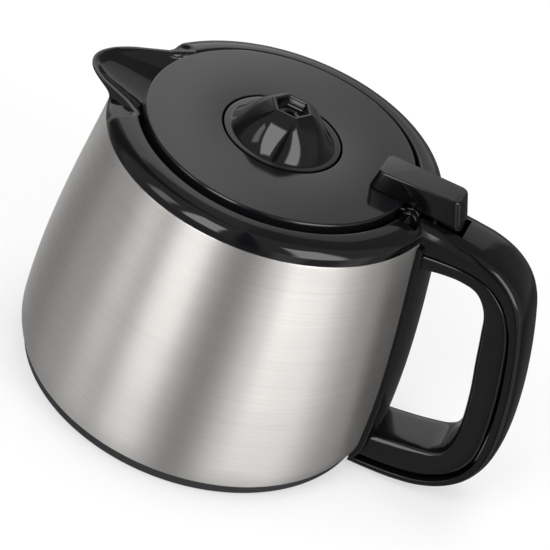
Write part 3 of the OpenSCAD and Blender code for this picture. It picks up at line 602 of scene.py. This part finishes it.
def makeCollar():
    bm = bmesh.new()
    steps = collar["steps"]
    plain = collarSection(180)
    layer = bm.verts.layers.int.new("link")
    corners = [bm.verts.new((-r * mm, 0, z * mm)) for r, z in plain]
    edges = [bm.edges.new((a, b)) for a, b in zip(corners, corners[1:] + corners[:1])]
    for i, corner in enumerate(corners):
        corner[layer] = i
    bmesh.ops.spin(bm, geom=corners + edges, cent=(0, 0, 0), axis=(0, 0, 1), angle=2 * math.pi, steps=steps,
                   use_merge=True, use_duplicate=False)
    sections = {}
    for vert in bm.verts:  # pull the ring's points out to the leaf
        turn = math.degrees(math.atan2(vert.co.y, -vert.co.x))
        if abs(turn) > collar["rootTurn"] + 1:
            continue
        key = round(turn, 3)
        if key not in sections:
            sections[key] = collarSection(turn)
        r, z = sections[key][vert[layer]]
        vert.co = Vector((-r * math.cos(math.radians(turn)), r * math.sin(math.radians(turn)), z)) * mm
    sharp = collar["sharp"]
    piece = finishPiece(bm, "spout_collar", "jug", collarPlastic, ("collar",), sharp)
    half, cheek, x, z = hinge["slotHalf"], hinge["cheek"], jug["hingeX"], jug["hingeZ"]
    pocketHalf, lugHalf = hinge["pocket"] / 2, cheek / 2 + hinge["lugOut"]
    pockets, lugs = [], []
    for side in (-1, 1):
        bm = rodMesh(x, z, hinge["lugR"] + hinge["pocketRoom"], pocketHalf)
        bmesh.ops.translate(bm, vec=(0, side * (half + cheek + pocketHalf) * mm, 0), verts=bm.verts)
        pockets.append(bm)
        bm = rodMesh(x, z, hinge["lugR"], lugHalf, hinge["lugEdge"])
        bmesh.ops.translate(bm, vec=(0, side * (half + lugHalf) * mm, 0), verts=bm.verts)
        lugs.append(bm)
    cutAway(piece, pockets)
    cheeks = looseObject(slabMesh(bracketOutline(0), -half - cheek, half + cheek), "cheeks")
    lidRoom = postMesh(0, 0, jug["ledgeZ"] - 20, jug["lidZ"] + 20, jug["lidR"] + 0.5, 192)
    cutAway(cheeks, [lidRoom])
    solid = bmesh.new()
    solid.from_mesh(cheeks.data)
    bpy.data.objects.remove(cheeks)
    cutAway(piece, [solid] + lugs + [slotMesh()], ["UNION"] * 3 + ["DIFFERENCE"], sharp)


lever = {
    "frontX": 38.0, "rearX": 76.5, "frontHalf": 7.2, "rearHalf": 6.0, "frontZ": 129.2, "rearZ": 130.8,
    "underZ": 118.9, "slant": 1.6, "rearSlant": 4.2, "cornerRound": 3.0, "edge": 0.7, "sharp": 30,
}
hinge = {
    "slotHalf": 7.13, "slotGap": 0.4, "slotR": 20.75, "slotLow": (74.17, 106.27), "boreHalf": 15,
    "stepX": 4.6, "stepZ": 113.3, "cheek": 3.0, "underZ": 104.77, "rearZ": 107.0, "gap": 0.1,
    "lugR": 3.45, "lugOut": 0.07, "lugEdge": 0.5, "lugRoom": 0.4, "pocket": 5.0, "pocketRoom": 1.1,
    "knuckleR": 3.35, "pinR": 1.25, "armHalf": 6.63, "armStart": 51.5, "armLowZ": 114.6, "armTopZ": 118.6,
}


def slotOutline():  # what the lever's rear sweeps, seen from the side
    x, z, r, low = jug["hingeX"], jug["hingeZ"], hinge["slotR"], hinge["slotLow"]
    front, top, steps = x - 12, z + 8, 8
    turn = math.asin((z - low[1]) / r) / steps
    arc = [(x + r * math.cos(turn * i), z - r * math.sin(turn * i)) for i in range(steps, -1, -1)]
    step = [(front, hinge["stepZ"]), (x + hinge["stepX"], hinge["stepZ"]), low]
    return step + arc + [(x + r, top), (front, top)]


def leverHalf(x):  # the lever's half width along its length
    along = (x - lever["frontX"]) / (lever["rearX"] - lever["frontX"])
    return mix(lever["frontHalf"], lever["rearHalf"], along)


def slotMesh():  # the slot, tapered as the lever is
    bm = slabMesh(slotOutline(), -1, 1)
    for vert in bm.verts:
        x = max(vert.co.x / mm, jug["hingeX"] - 4)
        vert.co.y *= leverHalf(x) + hinge["slotGap"]
    return bm


def bracketOutline(gap):  # the cheeks that the handle is screwed to
    x, z, top = jug["hingeX"], jug["hingeZ"], jug["shellTopZ"] + 4.2
    front, end, rootX = x - hinge["lugR"], x + hinge["slotR"] + 9, jug["shellTopR"] + 1.1
    under, rear = hinge["underZ"] - gap, hinge["rearZ"] - gap
    return [(front, z - 4), (front, z - 0.3), (x, z + 0.8), (x + 5, top + gap), (end - 5, top - 1 + gap),
            (end + gap, top - 4), (end + gap, rear), (x + hinge["slotR"], rear),
            (hinge["slotLow"][0] + 2.5, under), (rootX, under), (rootX, z - 4)]


def bracketRoom():  # what the handle leaves free round the cheeks
    reach = hinge["slotHalf"] + hinge["cheek"] + hinge["gap"]
    return slabMesh(bracketOutline(hinge["gap"]), -reach, reach)


makeCollar()
print("collar and spout made")

# handle
grip = {
    "halfWidth": 12.5, "step": 0.5, "sides": 48, "between": 7, "endRound": 0.4, "sharp": 45,
    "shellSquare": 16, "loopSquare": 5,  # how square each shell is on its inner side
    "screwX": 82.74, "screwY": 5, "headR": 2.7, "shankR": 1.5,
    "holeLowZ": 91.5, "headZ": 105.5, "shankZ": 111.5,
}
# both shells of the loop from top to foot
# x, z of the outer edge, x, z of the inner edge, squareness outside
outerStations = [
    (61.55, 119.5, 61.55, 106.4, 2.6), (66, 119.2, 66, 107.2, 2.6), (72, 118.9, 72, 108.4, 2.6),
    (80, 118.4, 80, 109, 2.5), (89, 117.4, 88, 108.9, 2.5), (98, 114.6, 95.6, 106.8, 2.4),
    (106, 109, 101.4, 102.8, 2.4), (111.6, 101, 105.8, 96.8, 2.4), (115.4, 90, 109.8, 88.6, 2.4),
    (119, 76.5, 113.5, 75, 2.4), (122, 62, 116.4, 60, 2.4), (124, 47, 118.2, 45, 2.4),
    (124.3, 36, 118.6, 35.4, 2.4), (122.7, 26.5, 117.8, 27.6, 2.4), (118.2, 17.4, 114.4, 19.8, 2.4),
    (110.8, 10.2, 108.4, 13.4, 2.4), (101, 5.2, 100.2, 8.9, 2.6), (90, 2.6, 90.2, 6.4, 2.8),
    (80, 1.6, 80, 5, 3), (70.5, 1, 70.5, 4.3, 3),
]
innerStations = [
    (66, 107, 67, 99.6, 9), (75, 108.2, 76, 101.9, 9), (84, 108.7, 84.4, 102.8, 9),
    (94, 107.2, 91.4, 101, 9), (103.8, 99.6, 96.4, 94, 9), (109.5, 89, 98.8, 84, 9),
    (113.2, 75, 101.2, 72, 9), (116.1, 59.4, 104.2, 58, 9), (117.8, 45, 106.2, 44, 9),
    (118.2, 34.8, 106.2, 34, 9), (117.3, 27.4, 104.6, 27.4, 7), (113.9, 20.1, 100.8, 24.3, 6),
    (108, 13.8, 95.4, 22.8, 5), (99.9, 9.3, 89.6, 21.4, 5), (90, 6.8, 84, 20.2, 5),
    (79.8, 5.4, 77.5, 18.9, 5), (70.5, 4.7, 72, 18.2, 5),
]


def between(a, b, c, d, t):  # smooth step between stations b and c
    def blend(p, q, r, s):
        bend, twist = 2 * p - 5 * q + 4 * r - s, 3 * q - p - 3 * r + s
        return q + 0.5 * ((r - p) * t + bend * t * t + twist * t ** 3)
    return tuple(blend(*four) for four in zip(a, b, c, d))


def gripRings(stations, halfWidth, innerSquare):
    last = len(stations) - 1
    path = []
    for i in range(last):
        four = stations[max(i - 1, 0)], stations[i], stations[i + 1], stations[min(i + 2, last)]
        path += [between(*four, k / grip["between"]) for k in range(grip["between"])]
    path.append(stations[-1])
    rings = []
    for ox, oz, ix, iz, square in path:
        cx, cz, hx, hz = (ox + ix) / 2, (oz + iz) / 2, (ox - ix) / 2, (oz - iz) / 2
        ring = []
        for i in range(grip["sides"]):
            a = 2 * math.pi * i / grip["sides"]
            k = 2 / (square if math.cos(a) >= 0 else innerSquare)
            u, v = signedPow(math.cos(a), k), signedPow(math.sin(a), k)
            ring.append((cx + hx * u, halfWidth * v, cz + hz * u))
        rings.append(ring)
    return rings


def softEnds(rings, depth):  # round a loft's two end faces
    def centre(ring):
        return sum((Vector(p) for p in ring), Vector()) / len(ring)

    def added(ring, neighbour, angle):
        middle = centre(ring)
        away = (middle - centre(neighbour)).normalized() * depth * math.sin(angle)
        inset = 1 - 0.11 * (1 - math.cos(angle))
        return [tuple(middle + (Vector(p) - middle) * inset + away) for p in ring]
    angles = (0.52, 1.05, 1.57)
    starts = [added(rings[0], rings[1], angle) for angle in reversed(angles)]
    ends = [added(rings[-1], rings[-2], angle) for angle in angles]
    return starts + rings + ends


def tongueRoom():  # what the base's tongue and its screw need
    (x, y, z), gap = base["tongueEnd"], base["tongueGap"]
    return blockMesh((base["tongueStart"][0] - 7, -y - gap, -1), (x + gap, y + gap, z + gap))


def bulgeMesh(gap):  # the collar's outside, solid to the axis
    line = []
    for i in range(collar["bulgeSteps"] + 1):
        a = math.pi / 2 * i / collar["bulgeSteps"]
        r = mix(jug["collarInR"] + collar["rimWidth"], jug["shellTopR"], math.sin(a))
        line.append((r + gap * math.sin(a), bulgeZ(a) + gap))
    lowZ = jug["shellTopZ"]
    bm = bmesh.new()
    turned(bm, [(0, lowZ), (0, jug["rimZ"] + gap)] + line + [(jug["shellTopR"] + gap, lowZ)])
    return bm


def makeHandle():
    gap, sharp = hinge["gap"], grip["sharp"]
    bm = bmesh.new()
    lofted(bm, softEnds(gripRings(outerStations, grip["halfWidth"], grip["shellSquare"]), grip["endRound"]))
    outer = finishPiece(bm, "grip_shell", "jug", gripPlastic, ("handle_outer",), sharp)
    lugRoom = rodMesh(jug["hingeX"], jug["hingeZ"], hinge["lugR"] + hinge["lugRoom"], 20)
    rooms = [bracketRoom(), slotMesh(), envelopeMesh(gap), bulgeMesh(gap), lugRoom, tongueRoom()]
    cutAway(outer, rooms, "DIFFERENCE", sharp)
    bm = bmesh.new()
    lofted(bm, gripRings(innerStations, grip["halfWidth"] - grip["step"], grip["loopSquare"]))
    inner = finishPiece(bm, "grip_loop", "jug", loopPlastic, ("handle_inner",), sharp)
    holes = []
    for y in (-grip["screwY"], grip["screwY"]):
        holes.append(postMesh(grip["screwX"], y, grip["holeLowZ"], grip["headZ"], grip["headR"]))
        holes.append(postMesh(grip["screwX"], y, grip["holeLowZ"], grip["shankZ"], grip["shankR"]))
    cutAway(inner, [bracketRoom(), envelopeMesh(gap / 2), tongueRoom()] + holes, "DIFFERENCE", sharp)


strap = {"thickness": 2.4, "sink": 0.3, "halfTurn": 12.4, "lowZ": 7.3, "highZ": 110.5, "barZ": 106.1,
         "edge": 0.9, "steps": 40, "across": 28, "sharp": 40}


def makeStrap():  # a strip up the steel, spun across, with its edges rounded
    bm = bmesh.new()
    zs = [mix(strap["lowZ"], strap["highZ"], i / strap["steps"]) for i in range(strap["steps"] + 1)]
    outside = [(shellR(z) + strap["thickness"], z) for z in zs]
    inside = [(shellR(z) - strap["sink"], z) for z in reversed(zs)]
    turnStart = Matrix.Rotation(math.radians(-strap["halfTurn"]), 3, "Z")
    corners = [bm.verts.new(turnStart @ Vector((r * mm, 0, z * mm))) for r, z in outside + inside]
    edges = [bm.edges.new((a, b)) for a, b in zip(corners, corners[1:] + corners[:1])]
    start = bm.faces.new(corners)
    bmesh.ops.spin(bm, geom=[start] + edges + corners, cent=(0, 0, 0), axis=(0, 0, 1),
                   angle=math.radians(2 * strap["halfTurn"]), steps=strap["across"], use_duplicate=False)
    bmesh.ops.recalc_face_normals(bm, faces=bm.faces)
    outer = {v for v in bm.verts if math.hypot(v.co.x, v.co.y) > (shellR(v.co.z / mm) + 1) * mm}
    ridge = [e for e in bm.edges if outer.issuperset(e.verts) and e.calc_face_angle(0) > 1.0]
    bmesh.ops.bevel(bm, geom=ridge, offset=strap["edge"] * mm, offset_type="OFFSET", affect="EDGES",
                    segments=4, profile=0.5, material=-1)
    piece = finishPiece(bm, "strap", "jug", strapPlastic, (), strap["sharp"])
    half = grip["halfWidth"] + hinge["gap"]
    barRoom = blockMesh((50, -half, strap["barZ"]), (100, half, strap["barZ"] + 10))
    cutAway(piece, [barRoom, bracketRoom()], "DIFFERENCE", strap["sharp"])


makeHandle()
makeStrap()
print("handle made")

# lid
lid = {"edge": 1.1, "skirt": 8.0, "skirtWall": 2.2, "plate": 2.4, "holeR": 23.6, "holeLip": 1.8,
       "lipDepth": 3, "sharp": 40}


def makeLid():
    z, r, holeR, half = jug["lidZ"], jug["lidR"], lid["holeR"], hinge["armHalf"]
    skirtZ, plateZ, lipZ = z - lid["skirt"], z - lid["plate"], z - lid["plate"] - lid["lipDepth"]
    inR, lipR = r - lid["skirtWall"], holeR + lid["holeLip"]
    profile = [(holeR, z, 0.35), (r, z, lid["edge"]), (r, skirtZ, 0.4), (inR, skirtZ),
               (inR, plateZ), (lipR, plateZ), (lipR, lipZ), (holeR, lipZ)]
    bm = bmesh.new()
    turned(bm, rounded(profile, 6), 256)
    piece = finishPiece(bm, "lid_disc", "lid", lidPlastic, ("lid_cover",), lid["sharp"])
    armLow, armHigh = (hinge["armStart"], -half, hinge["armLowZ"]), (jug["hingeX"], half, hinge["armTopZ"])
    arm = blockMesh(armLow, armHigh, 0.5)
    knuckle = rodMesh(jug["hingeX"], jug["hingeZ"], hinge["knuckleR"], half, 0.4)
    bore = rodMesh(jug["hingeX"], jug["hingeZ"], hinge["pinR"] + 0.05, hinge["boreHalf"])
    cutAway(piece, [arm, knuckle, bore], ["UNION", "UNION", "DIFFERENCE"], lid["sharp"])


makeLid()
print("lid made")

# brew cone
cone = {
    "flangeR": 22.8, "footR": 20.4, "topR": 7.8, "edge": 0.4, "height": 13.0, "swell": 2.6, "skirt": 6.4,
    "socketR": 6.6, "socketDepth": 3.8, "dripR": 1.9, "stemR": 6.6, "bossR": 9.5, "insideR": 21.2,
    "inRound": 0.02, "rings": 28, "perCorner": 16, "sharp": 40,
}


def sixSided(side, soft, z):  # a hexagon with corners at radius side, grown by a round of radius soft
    ring = []
    n = cone["perCorner"]
    for k in range(6):
        c = math.radians(60 * k)
        x, y = side * math.cos(c), side * math.sin(c)
        for i in range(n):
            a = math.radians(60 * k - 30 + 60 * (i + 0.5) / n)
            ring.append((x + soft * math.cos(a), y + soft * math.sin(a), z))
    return ring


def bellRing(t):  # round at the foot, six-sided at the top
    swell = cone["swell"] * math.sin(math.pi * t) * (t - 0.25)
    radius = mix(cone["footR"], cone["topR"] + cone["edge"], t) + swell
    side = cone["topR"] * t
    return sixSided(side, radius - side, mix(jug["lidZ"] + 0.2, jug["lidZ"] + cone["height"] - 0.15, t))


def makeCone():
    z, foot, flange = jug["lidZ"], cone["footR"], cone["flangeR"]
    top, r, s = z + cone["height"], cone["topR"], cone["socketR"]
    floor, drip, inside, soft = top - cone["socketDepth"], cone["dripR"], cone["insideR"], cone["inRound"]
    edge = [(0, flange, z - cone["skirt"]), (0, flange, z - 0.35), (0, flange - 0.08, z - 0.12),
            (0, flange - 0.3, z - 0.01), (0, foot + 0.9, z), (0, foot + 0.35, z + 0.06)]
    socket = [(r, 0.3, top - 0.05), (r, 0.12, top), (s + 0.55, soft, top), (s + 0.2, soft, top - 0.18),
              (s, soft, top - 0.5), (s - 0.45, soft, floor + 0.3), (s - 0.75, soft, floor),
              (0.1, drip + 0.2, floor), (0, drip, floor - 0.2), (0, drip, top - 9)]
    hollow = [(0, cone["stemR"], top - 9), (0, cone["stemR"], z - 8), (0, cone["bossR"], z - 8),
              (0, cone["bossR"], z - 5), (0, inside, z - 2), (0, inside, z - cone["skirt"])]
    rings = [sixSided(*ring) for ring in edge]
    rings += [bellRing(i / cone["rings"]) for i in range(cone["rings"] + 1)]
    rings += [sixSided(*ring) for ring in socket + hollow]
    bm = bmesh.new()
    lofted(bm, rings, True)
    finishPiece(bm, "drip_cone", "brew_valve", conePlastic, ("brew_cone",), cone["sharp"])


makeCone()
print("cone made")

# thumb lever
def makeLever():
    bm = bmesh.new()
    bmesh.ops.create_grid(bm, x_segments=1, y_segments=1, size=0.5)
    f, r = lever["frontX"], lever["rearX"]
    for vert in bm.verts:
        x = f if vert.co.x < 0 else r
        vert.co = Vector((x, math.copysign(leverHalf(x), vert.co.y), jug["lidZ"] + 0.05)) * mm
    bmesh.ops.bevel(bm, geom=bm.verts[:], offset=lever["cornerRound"] * mm, offset_type="OFFSET",
                    affect="VERTICES", segments=8, profile=0.5, material=-1)
    behindLid = jug["lidR"] + 0.4
    bmesh.ops.bisect_plane(bm, geom=bm.verts[:] + bm.edges[:] + bm.faces[:],
                           plane_co=(behindLid * mm, 0, 0), plane_no=(1, 0, 0))
    top = bmesh.ops.extrude_face_region(bm, geom=bm.faces[:])
    for vert in [g for g in top["geom"] if isinstance(g, bmesh.types.BMVert)]:
        t = clip((vert.co.x / mm - f) / (r - f))
        vert.co.z = mix(lever["frontZ"], lever["rearZ"], t) * mm
        vert.co.x += mix(lever["slant"], -lever["rearSlant"], ease(0.2, 0.8, t)) * mm
    low = [v for v in bm.verts if v.co.z < (jug["lidZ"] + 0.1) * mm and v.co.x > (behindLid + 0.1) * mm]
    for vert in low:  # behind the lid's edge the lever reaches lower
        vert.co.z = lever["underZ"] * mm
    bmesh.ops.recalc_face_normals(bm, faces=bm.faces)
    ridge = [e for e in bm.edges if len(e.link_faces) == 2 and e.calc_face_angle(0) > 0.9]
    bmesh.ops.bevel(bm, geom=ridge, offset=lever["edge"] * mm, offset_type="OFFSET", affect="EDGES",
                    segments=4, profile=0.5, material=-1)
    sharp = lever["sharp"]
    piece = finishPiece(bm, "lever_bar", "lid", leverPlastic, ("thumb_lever",), sharp)
    knuckleRoom = rodMesh(jug["hingeX"], jug["hingeZ"], hinge["knuckleR"] + hinge["gap"], 20)
    cutAway(piece, [knuckleRoom], "DIFFERENCE", sharp)


makeLever()
print("lever made")

# finishes of the pieces that stay as they are
finishes = {
    "inner_flask": innerSteel, "flask_neck": innerSteel, "flask_floor": innerSteel, "neck_ring": innerSteel,
    "shell_bottom": innerSteel, "base_pad": footRubber, "neck_gasket": silicone,
    "handle_screws": screwSteel, "handle_lower_screw": screwSteel, "hinge_pin": pinSteel,
    "lid_base": plugPlastic, "lid_gasket": silicone, "lid_screws": screwSteel, "lever_screws": screwSteel,
    "valve_stem": stemPlastic,
    "valve_spring": pinSteel, "valve_seal": silicone, "valve_disc": stemPlastic, "valve_screw": screwSteel,
    "outer_shell": steelFinish, "base_cup": basePlastic, "collar": collarPlastic,
    "handle_outer": gripPlastic, "handle_inner": loopPlastic, "lid_cover": lidPlastic,
    "thumb_lever": leverPlastic, "brew_cone": conePlastic,
}
for name, material in finishes.items():
    slots = nodes[name].data.materials
    if len(slots):
        for i in range(len(slots)):
            slots[i] = material
    else:
        slots.append(material)

# floor, lamps and surroundings
studio = {"floorTone": (0.86, 0.86, 0.86), "floorHalf": 6.0, "whiteShare": 0.55, "fill": 0.62, "base": 0.42,
          "below": 0.3, "aim": (0, 0, 0.06)}
# lamps: where they stand, width and height in m, power in W
lamps = {
    "keyLamp": ((-0.5, -1.3, 1.5), (0.9, 0.9), 16),
    "rightLamp": ((1.4, -0.6, 1.1), (0.6, 1.0), 9),
    "topLamp": ((0.1, 0.5, 1.8), (1.0, 1.0), 10),
}
# soft boxes that gloss sees: middle azimuth, half width, edge, lowest and highest elevation, strength
boxes = [
    (-108.0, 12.0, 4.0, 6.0, 60.0, 4.6),
    (-31.0, 16.0, 8.0, 6.0, 58.0, 4.4),
    (-139.0, 8.0, 8.0, 4.0, 42.0, 2.3),
    (-50.0, 10.0, 8.0, -60.0, 10.0, 0.5),
    (-8.0, 9.0, 10.0, -60.0, 10.0, 0.5),
    (112.0, 34.0, 6.0, 8.0, 52.0, 0.85),
]
# black flags: middle azimuth, half width, edge, what is left of the light, and of the light from below
darks = [(-77.0, 8.0, 8.0, 0.12, 0.5), (168.0, 14.0, 12.0, 0.2, 0.5), (62.0, 38.0, 10.0, 0.5, 0.25)]


def makeFloor():
    bm = bmesh.new()
    bmesh.ops.create_grid(bm, x_segments=1, y_segments=1, size=studio["floorHalf"])
    floor = looseObject(bm, "studio_floor")
    material, shade = newMaterial("paleFloor")
    path = shade.add("ShaderNodeLightPath")
    plain = shade.add("ShaderNodeBsdfDiffuse", {}, {"Color": studio["floorTone"]})
    lit = shade.add("ShaderNodeEmission", {}, {"Color": (1, 1, 1), "Strength": 1.0})
    clear = shade.add("ShaderNodeBsdfTransparent")
    share = path.out("Is Camera Ray") * studio["whiteShare"]
    seen = shade.add("ShaderNodeMixShader", {}, {0: share, 1: plain.out("BSDF"), 2: lit.out("Emission")})
    both = shade.add("ShaderNodeMixShader", {}, {0: path.out("Is Glossy Ray"), 1: seen.out("Shader"),
                                                 2: clear.out("BSDF")})
    shade.add("ShaderNodeOutputMaterial", {}, {"Surface": both.out("Shader")})
    floor.data.materials.append(material)


def makeLamp(name, place, size, power):
    data = bpy.data.lights.new(name, "AREA")
    data.shape = "RECTANGLE"
    data.size, data.size_y = size
    data.energy = power
    lamp = bpy.data.objects.new(name, data)
    lamp.location = place
    lamp.rotation_euler = (Vector(studio["aim"]) - Vector(place)).to_track_quat("-Z", "Y").to_euler()
    lamp.visible_glossy = False
    bpy.context.scene.collection.objects.link(lamp)


def makeWorld():
    world = bpy.data.worlds.new("studioWorld")
    world.use_nodes = True
    bpy.context.scene.world = world
    shade = Shade(world.node_tree)
    direction = shade.add("ShaderNodeTexCoord").out("Generated")
    parts = shade.add("ShaderNodeSeparateXYZ", {}, {"Vector": direction})
    x, y, z = parts.out("X"), parts.out("Y"), parts.out("Z")
    turn = y.calc("ARCTAN2", x) * (180 / math.pi)
    height = z.calc("ARCSINE") * (180 / math.pi)
    low = height.range(-4.0, -16.0, 0.0, 1.0)  # 1 well below the horizon
    glow = studio["base"] * (1 - low) + studio["below"] * low

    def sector(middle, half, edge):  # 1 within a sector of azimuths
        away = (turn - middle).calc("WRAP", 180.0, -180.0).calc("ABSOLUTE")
        return away.range(half - edge / 2, half + edge / 2, 1.0, 0.0)

    for middle, half, edge, bottom, peak, strength in boxes:
        tall = height.range(bottom - 2, bottom + 2) * height.range(peak - 2, peak + 2, 1.0, 0.0)
        glow = glow + sector(middle, half, edge) * tall * strength
    for middle, half, edge, left, leftBelow in darks:
        cover = sector(middle, half, edge)
        glow = glow * (1 - cover * (1 - left) * (1 - low) - cover * low * (1 - leftBelow))
    path = shade.add("ShaderNodeLightPath")
    camera, glossy = path.out("Is Camera Ray"), path.out("Is Glossy Ray")
    level = camera + (1.0 - camera) * (glossy * glow + (1.0 - glossy) * studio["fill"])
    light = shade.add("ShaderNodeBackground", {}, {"Color": (1, 1, 1), "Strength": level})
    shade.add("ShaderNodeOutputWorld", {}, {"Surface": light.out("Background")})


makeFloor()
makeWorld()
for name, settings in lamps.items():
    makeLamp(name, *settings)
print("studio lit")

bpy.context.view_layer.update()
